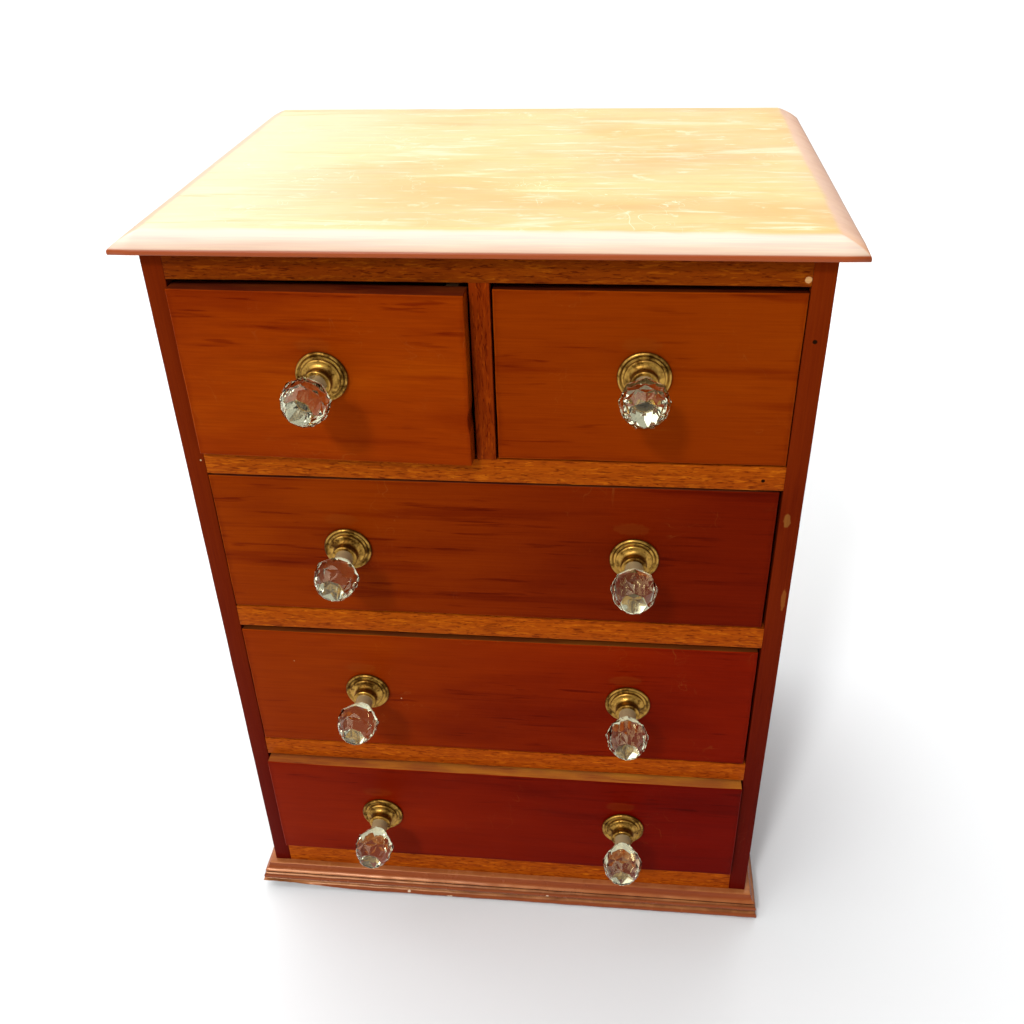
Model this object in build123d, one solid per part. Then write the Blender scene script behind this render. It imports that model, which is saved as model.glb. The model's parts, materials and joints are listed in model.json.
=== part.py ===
from build123d import *
from math import cos, pi, sin
from typing import NamedTuple
import os

# A small chest of drawers: two short drawers over three long ones, with cut-glass knobs.
# Millimetres. +X is the viewer's right, +Y runs from the front to the back, +Z is up.
# The origin is on the floor, in the middle of the whole chest, knobs included.

# Case
CASE_WIDTH = 330.0
CASE_DEPTH = 258.0
CASE_HEIGHT = 467.2
SIDE_THICKNESS = 10.8
BAY_HALF = CASE_WIDTH / 2 - SIDE_THICKNESS

# Top board, with a moulded edge on its front and both ends
TOP_THICKNESS = 9.2
TOP_FRONT_OVERHANG = 7.5
TOP_END_OVERHANG = 13.0
TOP_NOSE_HEIGHT = 2.4
TOP_MOULDING_WIDTH = 13.8

# Rails across the front, from the base up: heights of their lower and upper faces
RAILS = {
    "base_rail": (0.0, 41.0),
    "lower_rail": (127.0, 141.0),
    "middle_rail": (236.0, 250.3),
    "upper_rail": (342.4, 356.3),
    "top_rail": (453.0, CASE_HEIGHT),
}
RAIL_DEPTH = 40.0
BASE_RAIL_DEPTH = 14.0
TENON_LENGTH = 4.0
DIVIDER_WIDTH = 10.0

# Inside the case
BACK_THICKNESS = 6.0
BACK_REBATE = 5.4
BOTTOM_BOARD_THICKNESS = 9.0
HOUSING_DEPTH = 3.0
RUNNER_WIDTH = 20.0
RUNNER_THICKNESS = 10.0
CENTRE_RUNNER_WIDTH = 40.0
GUIDE_HEIGHT = 16.0
KICKER_WIDTH = 14.0

# Base moulding, planted on the front and both sides
BASE_HEIGHT = 20.3
BASE_PROJECTION = 9.0

# Drawers
DRAWER_DEPTH = 190.0
FRONT_THICKNESS = 12.7
FRONT_LIFT = 0.6
FRONT_ARRIS = 0.7
SIDE_INSET = 5.0
DRAWER_SIDE = 6.5
DRAWER_BACK = 6.0
DRAWER_BOTTOM = 4.0
BOTTOM_HEIGHT = 5.0
FRONT_HOUSING = 6.0
GROOVE_DEPTH = 2.5
BACK_HOUSING = 2.0
RUNNING_GAP = 0.3

# Knobs: a stepped brass rose with a ferrule, and a faceted glass head on a short shank
ROSE_RADIUS = 13.5
FERRULE_RADIUS = 6.4
FERRULE_LENGTH = 10.0
SHANK_RADIUS = 5.2
SHANK_SEAT = 7.0
HEAD_RADIUS = 12.7
HEAD_CENTRE = 28.1
HEAD_SIDES = 8
BOLT_RADIUS = 1.5
NUT_WIDTH = 5.5
NUT_THICKNESS = 2.4

# Nails and screws
NAIL_RADIUS = 0.6
NAIL_HEAD_RADIUS = 1.3
NAIL_LENGTH = 14.0
SCREW_RADIUS = 1.4
SCREW_HEAD_RADIUS = 2.8
SCREW_LENGTH = 18.0


class Drawer(NamedTuple):
    name: str
    centre_x: float
    width: float
    rail: str
    height: float
    knob_height: float
    knob_spacing: float
    pulled_out: float
    yaw: float


SHORT_WIDTH = 147.4
LONG_WIDTH = 306.4
KNOB_SPACING = 160.0
DRAWERS = (
    Drawer("drawer_top_left", -80.1, SHORT_WIDTH, "upper_rail", 93.2, 49.4, 0.0, 6.7, 1.8),
    Drawer("drawer_top_right", 80.0, SHORT_WIDTH, "upper_rail", 93.2, 49.4, 0.0, 0.0, 0.0),
    Drawer("drawer_upper", -0.8, LONG_WIDTH, "middle_rail", 90.6, 45.4, KNOB_SPACING, 0.0, 0.0),
    Drawer("drawer_middle", -0.6, LONG_WIDTH, "lower_rail", 91.4, 47.2, KNOB_SPACING, 0.4, 0.0),
    Drawer("drawer_lower", 0.0, LONG_WIDTH, "base_rail", 83.8, 41.7, KNOB_SPACING, 6.0, 0.0),
)

# The case's front plane, set so that the knobs and the back are equally far from the origin
KNOB_LENGTH = HEAD_CENTRE + 0.95 * HEAD_RADIUS
FRONT_Y = -(CASE_DEPTH - KNOB_LENGTH - DRAWERS[0].pulled_out) / 2
BACK_Y = FRONT_Y + CASE_DEPTH
PANEL_Y = BACK_Y - BACK_THICKNESS


def block(x0, x1, y0, y1, z0, z1):
    """A box between two corners."""
    size = Box(x1 - x0, y1 - y0, z1 - z0)
    return Pos((x0 + x1) / 2, (y0 + y1) / 2, (z0 + z1) / 2) * size


def mirrored_block(x0, x1, y0, y1, z0, z1):
    """The same box on the left and on the right."""
    return [block(x0, x1, y0, y1, z0, z1), block(-x1, -x0, y0, y1, z0, z1)]


def cut(piece, tools):
    for tool in tools:
        piece = piece - tool
    return piece


def rod(centre, radius, length, direction):
    """A round bar that starts at centre and runs along direction."""
    place = Plane(origin=centre, z_dir=direction)
    return place * Cylinder(radius, length, align=(Align.CENTER, Align.CENTER, Align.MIN))


def save(name, pieces):
    solids = [solid for piece in pieces for solid in piece.solids()]
    export_step(Compound(solids), f"parts/{name}.step")


# ---- Joints between the rails, the divider and the sides


def rail_depth(name):
    return BASE_RAIL_DEPTH if name == "base_rail" else RAIL_DEPTH


def rail_tenons(name):
    """The stub tenons at a rail's ends, which are also the sides' mortises."""
    low, high = RAILS[name]
    depth = rail_depth(name)
    inset = (high - low) * 0.28
    return mirrored_block(
        BAY_HALF, BAY_HALF + TENON_LENGTH,
        FRONT_Y + 0.25 * depth, FRONT_Y + 0.75 * depth,
        low + inset, high - inset,
    )


def divider_tenons():
    """The stub tenons at the divider's two ends, which are also the rails' mortises."""
    half = DIVIDER_WIDTH / 4
    y0 = FRONT_Y + 0.25 * RAIL_DEPTH
    y1 = FRONT_Y + 0.75 * RAIL_DEPTH
    foot = RAILS["upper_rail"][1]
    head = RAILS["top_rail"][0]
    return [
        block(-half, half, y0, y1, foot - TENON_LENGTH, foot),
        block(-half, half, y0, y1, head, head + TENON_LENGTH),
    ]


def runner_tongue():
    """The tongue at the centre runner's front end, and the rail's groove for it."""
    top = RAILS["upper_rail"][1]
    y1 = FRONT_Y + RAIL_DEPTH
    half = CENTRE_RUNNER_WIDTH / 2
    return block(-half, half, y1 - TENON_LENGTH, y1, top - 7.0, top - 4.0)


def bottom_housings():
    """The ends of the bottom board, let into the sides."""
    top = RAILS["base_rail"][1]
    return mirrored_block(
        BAY_HALF, BAY_HALF + HOUSING_DEPTH,
        FRONT_Y + BASE_RAIL_DEPTH, PANEL_Y,
        top - BOTTOM_BOARD_THICKNESS, top,
    )


# ---- Nails and screws


def nail(x, z):
    """A nail through the back panel, its head flush with the panel."""
    shank = rod((x, BACK_Y - 0.2, z), NAIL_RADIUS, NAIL_LENGTH, (0, -1, 0))
    head = rod((x, BACK_Y - 0.2, z), NAIL_HEAD_RADIUS, 0.6, (0, -1, 0))
    return shank + head


def back_nails():
    edge_x = BAY_HALF + BACK_REBATE / 2
    heights = [60.0 + 88.0 * step for step in range(5)]
    nails = [nail(side * edge_x, z) for side in (-1, 1) for z in heights]
    bottom_z = RAILS["base_rail"][1] - BOTTOM_BOARD_THICKNESS / 2
    nails += [nail(x, bottom_z) for x in (-75.0, 75.0)]
    nails += [nail(0.0, RAILS["upper_rail"][1] - RUNNER_THICKNESS / 2)]
    return nails


def top_screw(x, y):
    """A countersunk screw driven up through a kicker into the top board."""
    z = RAILS["top_rail"][0]
    shank = rod((x, y, z + 0.3), SCREW_RADIUS, SCREW_LENGTH, (0, 0, 1))
    head = Pos(x, y, z + 0.3) * Cone(
        SCREW_HEAD_RADIUS, SCREW_RADIUS, 2.4, align=(Align.CENTER, Align.CENTER, Align.MIN)
    )
    return shank + head


def top_screws():
    columns = (-BAY_HALF + KICKER_WIDTH / 2, 0.0, BAY_HALF - KICKER_WIDTH / 2)
    rows = (FRONT_Y + 80.0, FRONT_Y + 205.0)
    return [top_screw(x, y) for x in columns for y in rows]


def drill(screw_or_nail):
    """The hole that a screw or nail makes, open to the surface it was driven from."""
    box = screw_or_nail.bounding_box()
    mouth = (box.max.X - box.min.X) / 2
    centre_x = (box.max.X + box.min.X) / 2
    if box.size.Z > box.size.Y:
        opening = rod((centre_x, (box.max.Y + box.min.Y) / 2, box.min.Z), mouth, 1.0, (0, 0, -1))
    else:
        opening = rod((centre_x, box.max.Y, (box.max.Z + box.min.Z) / 2), mouth, 1.0, (0, 1, 0))
    return screw_or_nail + opening


# ---- Case


def case_sides(nails):
    """The two side boards: mortised for the rails, housed for the bottom, rebated for the back."""
    sockets = bottom_housings()
    for name in RAILS:
        sockets += rail_tenons(name)
    sockets += mirrored_block(
        BAY_HALF, BAY_HALF + BACK_REBATE, PANEL_Y, BACK_Y, 0.0, CASE_HEIGHT
    )
    sockets += nails
    right = block(BAY_HALF, CASE_WIDTH / 2, FRONT_Y, BACK_Y, 0.0, CASE_HEIGHT)
    left = block(-CASE_WIDTH / 2, -BAY_HALF, FRONT_Y, BACK_Y, 0.0, CASE_HEIGHT)
    return cut(left, sockets), cut(right, sockets)


def nose_outline(edge, inward):
    """The top board's section: a square lip, then a thumbnail curve up to the flat."""
    bottom = CASE_HEIGHT
    lip = CASE_HEIGHT + TOP_NOSE_HEIGHT
    top = CASE_HEIGHT + TOP_THICKNESS
    crown = edge + inward * TOP_MOULDING_WIDTH
    shoulder = (edge + inward * 0.42 * TOP_MOULDING_WIDTH, lip + 0.54 * (top - lip))
    return bottom, lip, top, crown, shoulder


def top_board(screws):
    """Two extrusions that share the board give it mitred mouldings at the front corners."""
    half = CASE_WIDTH / 2 + TOP_END_OVERHANG
    nose_y = FRONT_Y - TOP_FRONT_OVERHANG

    bottom, lip, top, crown, shoulder = nose_outline(nose_y, 1)
    section = (
        Line((0, BACK_Y, bottom), (0, nose_y, bottom))
        + Line((0, nose_y, bottom), (0, nose_y, lip))
        + ThreePointArc((0, nose_y, lip), (0, *shoulder), (0, crown, top))
        + Line((0, crown, top), (0, BACK_Y, top))
        + Line((0, BACK_Y, top), (0, BACK_Y, bottom))
    )
    front_shape = extrude(make_face(section), amount=half, dir=(1, 0, 0), both=True)

    bottom, lip, top, crown, shoulder = nose_outline(half, -1)
    section = (
        Line((-half, 0, bottom), (half, 0, bottom))
        + Line((half, 0, bottom), (half, 0, lip))
        + ThreePointArc((half, 0, lip), (shoulder[0], 0, shoulder[1]), (crown, 0, top))
        + Line((crown, 0, top), (-crown, 0, top))
        + ThreePointArc((-crown, 0, top), (-shoulder[0], 0, shoulder[1]), (-half, 0, lip))
        + Line((-half, 0, lip), (-half, 0, bottom))
    )
    end_shape = extrude(make_face(section), amount=CASE_DEPTH, dir=(0, 1, 0), both=True)
    return cut(front_shape & end_shape, screws)


def rail(name):
    """A front rail with its stub tenons, and the mortises for what stands on or under it."""
    low, high = RAILS[name]
    piece = block(-BAY_HALF, BAY_HALF, FRONT_Y, FRONT_Y + rail_depth(name), low, high)
    for tenon in rail_tenons(name):
        piece = piece + tenon
    if name in ("upper_rail", "top_rail"):
        piece = cut(piece, divider_tenons())
    if name == "upper_rail":
        piece = piece - runner_tongue()
    return piece


def centre_divider():
    half = DIVIDER_WIDTH / 2
    foot = RAILS["upper_rail"][1]
    head = RAILS["top_rail"][0]
    piece = block(-half, half, FRONT_Y, FRONT_Y + RAIL_DEPTH, foot, head)
    for tenon in divider_tenons():
        piece = piece + tenon
    return piece


def side_runners():
    """The strips on both sides that the drawers slide on, level with the rails."""
    runners = []
    for name in ("lower_rail", "middle_rail", "upper_rail"):
        top = RAILS[name][1]
        runners += mirrored_block(
            BAY_HALF - RUNNER_WIDTH, BAY_HALF,
            FRONT_Y + RAIL_DEPTH, PANEL_Y,
            top - RUNNER_THICKNESS, top,
        )
    return runners


def centre_runner(nails):
    top = RAILS["upper_rail"][1]
    half = CENTRE_RUNNER_WIDTH / 2
    piece = block(-half, half, FRONT_Y + RAIL_DEPTH, PANEL_Y, top - RUNNER_THICKNESS, top)
    return cut(piece + runner_tongue(), nails)


def centre_guide():
    """The strip on the centre runner that keeps the two short drawers apart."""
    foot = RAILS["upper_rail"][1]
    half = DIVIDER_WIDTH / 2
    return block(-half, half, FRONT_Y + RAIL_DEPTH, PANEL_Y, foot, foot + GUIDE_HEIGHT)


def top_kickers(screws):
    """Strips under the top board that stop the short drawers tipping, and carry its screws."""
    low, high = RAILS["top_rail"]
    y0 = FRONT_Y + RAIL_DEPTH
    strips = mirrored_block(BAY_HALF - KICKER_WIDTH, BAY_HALF, y0, PANEL_Y, low, high)
    strips.append(block(-KICKER_WIDTH / 2, KICKER_WIDTH / 2, y0, PANEL_Y, low, high))
    return [cut(strip, screws) for strip in strips]


def bottom_board(nails):
    top = RAILS["base_rail"][1]
    piece = block(
        -BAY_HALF, BAY_HALF,
        FRONT_Y + BASE_RAIL_DEPTH, PANEL_Y,
        top - BOTTOM_BOARD_THICKNESS, top,
    )
    for end in bottom_housings():
        piece = piece + end
    return cut(piece, nails)


def back_panel(nails):
    half = BAY_HALF + BACK_REBATE
    return cut(block(-half, half, PANEL_Y, BACK_Y, 8.0, CASE_HEIGHT), nails)


def base_section(point):
    """The base moulding's section, from a fillet and an ovolo down over two beads.

    point(distance, height) puts a place on the section, with the distance measured
    outwards from the board that the moulding is planted on."""
    fillet_edge = point(4.0, BASE_HEIGHT)
    upper_quirk = point(6.2, 13.2)
    upper_start = point(6.2, 12.6)
    lower_quirk = point(7.0, 6.9)
    lower_start = point(7.0, 6.3)
    foot = point(7.6, 0.0)
    inner_foot = point(0.0, 0.0)
    inner_top = point(0.0, BASE_HEIGHT)
    return (
        Line(inner_foot, inner_top)
        + Line(inner_top, fillet_edge)
        + ThreePointArc(fillet_edge, point(5.9, 17.2), upper_quirk)
        + Line(upper_quirk, upper_start)
        + ThreePointArc(upper_start, point(8.2, 9.9), lower_quirk)
        + Line(lower_quirk, lower_start)
        + ThreePointArc(lower_start, point(BASE_PROJECTION, 3.2), foot)
        + Line(foot, inner_foot)
    )


def mitre_wedge(side):
    """Everything on the returns' side of the front corner's 45 degree mitre."""
    corner_x = side * CASE_WIDTH / 2
    reach = 3 * BASE_PROJECTION
    outline = Polyline(
        (corner_x, FRONT_Y, -1),
        (corner_x + side * reach, FRONT_Y - reach, -1),
        (corner_x + side * reach, BACK_Y + reach, -1),
        (corner_x, BACK_Y + reach, -1),
        (corner_x, FRONT_Y, -1),
    )
    return extrude(make_face(outline), amount=BASE_HEIGHT + 2, dir=(0, 0, 1))


def base_moulding():
    """The front length and its two returns, mitred at the front corners."""
    half = CASE_WIDTH / 2
    reach = 2 * BASE_PROJECTION
    across = base_section(lambda out, z: (0, FRONT_Y - out, z))
    front = extrude(make_face(across), amount=half + reach, dir=(1, 0, 0), both=True)
    wedges = {side: mitre_wedge(side) for side in (-1, 1)}
    returns = []
    for side in (-1, 1):
        along = base_section(lambda out, z: (side * (half + out), BACK_Y, z))
        length = extrude(make_face(along), amount=CASE_DEPTH + reach, dir=(0, -1, 0))
        returns.append(length & wedges[side])
        front = front - wedges[side]
    return front, returns


# ---- Drawers, each made around its own origin: the middle of the front's lower edge


def knob_places(drawer):
    """The knobs' centres across the front."""
    if drawer.knob_spacing == 0:
        return [0.0]
    return [-drawer.knob_spacing / 2, drawer.knob_spacing / 2]


def inner_half(drawer):
    return drawer.width / 2 - SIDE_INSET - DRAWER_SIDE


def drawer_side_board(drawer, side):
    """A side before its grooves are cut, its front end let into the drawer front."""
    inner = inner_half(drawer)
    x0, x1 = sorted((side * inner, side * (inner + DRAWER_SIDE)))
    return block(
        x0, x1, FRONT_THICKNESS - FRONT_HOUSING, DRAWER_DEPTH, 0.0, drawer.height - 1.2
    )


def drawer_bottom(drawer):
    """A thin board that slides in grooves, from under the back to the front."""
    half = inner_half(drawer) + GROOVE_DEPTH
    return block(
        -half, half,
        FRONT_THICKNESS - GROOVE_DEPTH, DRAWER_DEPTH,
        BOTTOM_HEIGHT, BOTTOM_HEIGHT + DRAWER_BOTTOM,
    )


def drawer_back(drawer):
    half = inner_half(drawer) + BACK_HOUSING
    rear = DRAWER_DEPTH - 2.0
    return block(
        -half, half, rear - DRAWER_BACK, rear, BOTTOM_HEIGHT + DRAWER_BOTTOM, drawer.height - 8.0
    )


def drawer_front(drawer):
    """The front board, softened round its face, housed for the sides and drilled for the knobs."""
    half = drawer.width / 2
    board = block(-half, half, 0.0, FRONT_THICKNESS, FRONT_LIFT, drawer.height)
    board = fillet(board.faces().sort_by(Axis.Y)[0].edges(), FRONT_ARRIS)
    sockets = [drawer_side_board(drawer, side) for side in (-1, 1)]
    sockets.append(drawer_bottom(drawer))
    for x in knob_places(drawer):
        sockets.append(rod((x, 0, drawer.knob_height), BOLT_RADIUS, FRONT_THICKNESS, (0, 1, 0)))
    return cut(board, sockets)


def rose(x, z):
    """A spun brass rose: rolled rim, hollow, raised ring, cove and a cupped ferrule."""
    bead = FERRULE_LENGTH - 1.8
    outline = (
        Line((BOLT_RADIUS, 0), (ROSE_RADIUS - 0.8, 0))
        + ThreePointArc((ROSE_RADIUS - 0.8, 0), (ROSE_RADIUS, 1.1), (ROSE_RADIUS - 1.1, 2.2))
        + Line((ROSE_RADIUS - 1.1, 2.2), (ROSE_RADIUS - 2.3, 1.5))
        + Line((ROSE_RADIUS - 2.3, 1.5), (9.9, 1.8))
        + ThreePointArc((9.9, 1.8), (10.2, 2.9), (9.3, 3.6))
        + ThreePointArc((9.3, 3.6), (7.2, 4.4), (FERRULE_RADIUS, 6.2))
        + Line((FERRULE_RADIUS, 6.2), (FERRULE_RADIUS, bead))
        + ThreePointArc(
            (FERRULE_RADIUS, bead), (FERRULE_RADIUS + 0.7, bead + 0.9), (FERRULE_RADIUS, FERRULE_LENGTH)
        )
        + Line((FERRULE_RADIUS, FERRULE_LENGTH), (SHANK_RADIUS, FERRULE_LENGTH))
        + Line((SHANK_RADIUS, FERRULE_LENGTH), (SHANK_RADIUS, SHANK_SEAT))
        + Line((SHANK_RADIUS, SHANK_SEAT), (BOLT_RADIUS, SHANK_SEAT))
        + Line((BOLT_RADIUS, SHANK_SEAT), (BOLT_RADIUS, 0))
    )
    # The outline is drawn as (radius, height), so its plane turns height into -Y.
    place = Plane(origin=(x, 0, z), x_dir=(1, 0, 0), z_dir=(0, 0, 1)) * Rot(180, 0, 0)
    return place * revolve(make_face(outline), Axis.Y)


def ring(radius, height, turn):
    """Corner points of a regular polygon across the knob's axis, which is +Z here."""
    step = 2 * pi / HEAD_SIDES
    angles = [step * (index + turn) for index in range(HEAD_SIDES)]
    return [Vector(radius * cos(angle), radius * sin(angle), height) for angle in angles]


def flat_band(lower, upper):
    """The flat facets between two rings of which one is a smaller copy of the other."""
    following = [(index + 1) % HEAD_SIDES for index in range(HEAD_SIDES)]
    return [
        (lower[index], lower[after], upper[after], upper[index])
        for index, after in enumerate(following)
    ]


def triangle_band(lower, upper):
    """The triangles between two rings, the upper one turned by half a step."""
    triangles = []
    for index in range(HEAD_SIDES):
        following = (index + 1) % HEAD_SIDES
        triangles.append((lower[index], lower[following], upper[index]))
        triangles.append((upper[index], lower[following], upper[following]))
    return triangles


def glass_head():
    """A cut-glass ball: broad flat shoulders, two bands of triangles and a table in front."""
    base = ring(0.46 * HEAD_RADIUS, -0.90 * HEAD_RADIUS, 0.0)
    widest = ring(1.00 * HEAD_RADIUS, -0.08 * HEAD_RADIUS, 0.0)
    front = ring(0.87 * HEAD_RADIUS, 0.50 * HEAD_RADIUS, 0.5)
    table = ring(0.54 * HEAD_RADIUS, 0.95 * HEAD_RADIUS, 1.0)
    outlines = [base[::-1], table]
    outlines += flat_band(base, widest)
    outlines += triangle_band(widest, front)
    outlines += triangle_band(front, table)
    faces = [Face(Wire.make_polygon(points)) for points in outlines]
    return Solid(Shell(faces))


def glass_knob(x, z):
    """The head and the shank that is cemented into the rose's ferrule."""
    rear = HEAD_CENTRE - 0.90 * HEAD_RADIUS
    shank = Cylinder(
        SHANK_RADIUS, rear + 0.5 - SHANK_SEAT, align=(Align.CENTER, Align.CENTER, Align.MIN)
    )
    knob = Pos(0, 0, SHANK_SEAT) * shank + Pos(0, 0, HEAD_CENTRE) * glass_head()
    return Plane(origin=(x, 0, z), x_dir=(1, 0, 0), z_dir=(0, -1, 0)) * knob


def knob_bolt(x, z):
    """The threaded stem from the rose through the front, and its nut inside the drawer."""
    stem = rod((x, -SHANK_SEAT, z), BOLT_RADIUS, SHANK_SEAT + FRONT_THICKNESS + 4.0, (0, 1, 0))
    nut = extrude(RegularPolygon(NUT_WIDTH / 2, 6, major_radius=False), NUT_THICKNESS)
    place = Plane(origin=(x, FRONT_THICKNESS, z), z_dir=(0, 1, 0))
    return stem + place * nut


def drawer_pieces(drawer):
    """Every piece of a drawer around the drawer's own origin, by node suffix."""
    bottom = drawer_bottom(drawer)
    back = drawer_back(drawer)
    sides = [cut(drawer_side_board(drawer, side), [bottom, back]) for side in (-1, 1)]
    knobs = [(x, drawer.knob_height) for x in knob_places(drawer)]
    return {
        "front": [drawer_front(drawer)],
        "left_side": [sides[0]],
        "right_side": [sides[1]],
        "back": [back],
        "bottom": [bottom],
        "roses": [rose(*place) for place in knobs],
        "knobs": [glass_knob(*place) for place in knobs],
        "knob_bolts": [knob_bolt(*place) for place in knobs],
    }


def save_drawer(drawer):
    """Puts a drawer in its opening. One that was left skewed turns about its front's middle."""
    floor = RAILS[drawer.rail][1] + RUNNING_GAP
    place = Pos(drawer.centre_x, FRONT_Y - drawer.pulled_out, floor) * Rot(0, 0, -drawer.yaw)
    for suffix, pieces in drawer_pieces(drawer).items():
        save(f"{drawer.name}_{suffix}", [place * piece for piece in pieces])


def save_case():
    nails = back_nails()
    screws = top_screws()
    nail_holes = [drill(piece) for piece in nails]
    screw_holes = [drill(piece) for piece in screws]
    left, right = case_sides(nail_holes)
    save("left_side", [left])
    save("right_side", [right])
    save("top_board", [top_board(screw_holes)])
    for name in RAILS:
        save(name, [rail(name)])
    save("centre_divider", [centre_divider()])
    save("side_runners", side_runners())
    save("centre_runner", [centre_runner(nail_holes)])
    save("centre_guide", [centre_guide()])
    save("top_kickers", top_kickers(screw_holes))
    save("bottom_board", [bottom_board(nail_holes)])
    save("back_panel", [back_panel(nail_holes)])
    front, returns = base_moulding()
    save("base_moulding_front", [front])
    save("base_moulding_left", [returns[0]])
    save("base_moulding_right", [returns[1]])
    save("back_nails", nails)
    save("top_screws", screws)


os.makedirs("parts", exist_ok=True)
save_case()
for chest_drawer in DRAWERS:
    save_drawer(chest_drawer)
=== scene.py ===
import json
from math import cos, pi, radians, sin

import bmesh
import bpy
from mathutils import Matrix, Vector, noise


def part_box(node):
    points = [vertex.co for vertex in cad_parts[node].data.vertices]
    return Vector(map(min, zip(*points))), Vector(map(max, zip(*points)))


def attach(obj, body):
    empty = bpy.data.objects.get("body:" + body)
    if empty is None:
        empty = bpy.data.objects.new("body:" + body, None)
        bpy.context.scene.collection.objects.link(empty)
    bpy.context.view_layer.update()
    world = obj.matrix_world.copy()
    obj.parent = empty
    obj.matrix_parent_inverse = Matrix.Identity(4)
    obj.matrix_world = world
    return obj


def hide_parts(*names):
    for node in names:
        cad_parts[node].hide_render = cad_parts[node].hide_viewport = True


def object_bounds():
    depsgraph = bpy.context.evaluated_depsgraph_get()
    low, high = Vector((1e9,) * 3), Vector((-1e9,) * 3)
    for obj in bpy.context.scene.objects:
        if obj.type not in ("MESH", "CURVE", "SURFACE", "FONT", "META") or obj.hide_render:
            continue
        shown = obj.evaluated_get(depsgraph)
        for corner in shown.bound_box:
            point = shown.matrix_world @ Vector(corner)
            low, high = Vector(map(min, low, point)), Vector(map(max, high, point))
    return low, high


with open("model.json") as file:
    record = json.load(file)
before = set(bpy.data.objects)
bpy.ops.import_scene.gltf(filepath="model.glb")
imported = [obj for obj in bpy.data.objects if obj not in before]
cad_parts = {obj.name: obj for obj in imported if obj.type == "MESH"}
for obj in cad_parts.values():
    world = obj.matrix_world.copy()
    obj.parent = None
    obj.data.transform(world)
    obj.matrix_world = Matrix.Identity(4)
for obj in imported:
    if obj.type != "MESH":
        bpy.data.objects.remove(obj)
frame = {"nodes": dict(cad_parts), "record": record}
cad_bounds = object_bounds()

MM = 0.001

# ---------------------------------------------------------------- node helpers


def new_material(name):
    """An empty node material with one Principled shader."""
    material = bpy.data.materials.new(name)
    material.use_nodes = True
    tree = material.node_tree
    shader = tree.nodes["Principled BSDF"]
    return material, tree, shader


def plug(tree, value, socket):
    """Joins an output to a socket, or sets the socket to a plain value."""
    if isinstance(value, bpy.types.NodeSocket):
        tree.links.new(value, socket)
    else:
        socket.default_value = value


def math_node(tree, operation, first, second=0.0, clamp=False):
    node = tree.nodes.new("ShaderNodeMath")
    node.operation = operation
    node.use_clamp = clamp
    plug(tree, first, node.inputs[0])
    plug(tree, second, node.inputs[1])
    return node.outputs[0]


def vector_node(tree, operation, first, second=(0, 0, 0)):
    node = tree.nodes.new("ShaderNodeVectorMath")
    node.operation = operation
    plug(tree, first, node.inputs[0])
    plug(tree, second, node.inputs[1])
    return node.outputs["Value" if operation == "LENGTH" else "Vector"]


def add(tree, first, second):
    return math_node(tree, "ADD", first, second)


def times(tree, first, second):
    return math_node(tree, "MULTIPLY", first, second)


def between(tree, value, low, high, to_low=0.0, to_high=1.0):
    """Smoothly maps low..high to to_low..to_high."""
    node = tree.nodes.new("ShaderNodeMapRange")
    node.interpolation_type = "SMOOTHSTEP"
    plug(tree, value, node.inputs["Value"])
    node.inputs["From Min"].default_value = low
    node.inputs["From Max"].default_value = high
    node.inputs["To Min"].default_value = to_low
    node.inputs["To Max"].default_value = to_high
    return node.outputs["Result"]


def mix_colour(tree, factor, first, second, blend="MIX"):
    node = tree.nodes.new("ShaderNodeMix")
    node.data_type = "RGBA"
    node.blend_type = blend
    plug(tree, factor, node.inputs[0])
    plug(tree, first, node.inputs[6])
    plug(tree, second, node.inputs[7])
    return node.outputs[2]


def colour(red, green, blue):
    return (red, green, blue, 1.0)


def tinted(tree, base, amount, tint):
    """Multiplies the base by a tint where amount is 1."""
    return mix_colour(tree, amount, base, colour(*tint), "MULTIPLY")


def coordinate(tree, axis, output="Object"):
    """One of the piece's own coordinates, or with output "Normal" of its surface's direction."""
    split = tree.nodes.new("ShaderNodeSeparateXYZ")
    plug(tree, tree.nodes.new("ShaderNodeTexCoord").outputs[output], split.inputs[0])
    return split.outputs[axis]


def place_of(tree, stretch, offset=(0, 0, 0)):
    """The piece's own coordinates in metres, moved by offset and then scaled by stretch."""
    coordinates = tree.nodes.new("ShaderNodeTexCoord").outputs["Object"]
    moved = vector_node(tree, "ADD", coordinates, offset)
    return vector_node(tree, "MULTIPLY", moved, stretch)


def noise_of(tree, place, scale=1.0, detail=4.0, roughness=0.55, distortion=0.0):
    node = tree.nodes.new("ShaderNodeTexNoise")
    plug(tree, place, node.inputs["Vector"])
    node.inputs["Scale"].default_value = scale
    node.inputs["Detail"].default_value = detail
    node.inputs["Roughness"].default_value = roughness
    node.inputs["Distortion"].default_value = distortion
    return node.outputs["Fac"]


def bump(tree, height, distance, strength, under=None):
    node = tree.nodes.new("ShaderNodeBump")
    node.inputs["Distance"].default_value = distance
    node.inputs["Strength"].default_value = strength
    plug(tree, height, node.inputs["Height"])
    if under is not None:
        plug(tree, under, node.inputs["Normal"])
    return node.outputs["Normal"]


# ---------------------------------------------------------------- layout

CASE_LOW, CASE_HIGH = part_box("left_side")
HALF_WIDTH = -CASE_LOW.x
FRONT_Y = CASE_LOW.y
BACK_Y = CASE_HIGH.y
TOP_LOW, TOP_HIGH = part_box("top_board")
TOP_LIP = 469.6 * MM
TOP_MOULDING_WIDTH = 13.8 * MM
UPPER_QUIRK = 12.9 * MM
LOWER_QUIRK = 6.6 * MM
HEAD_LENGTH = 23.5 * MM
HEAD_RADIUS = 12.7 * MM
OLD_MARK_RISE = 19 * MM

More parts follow.
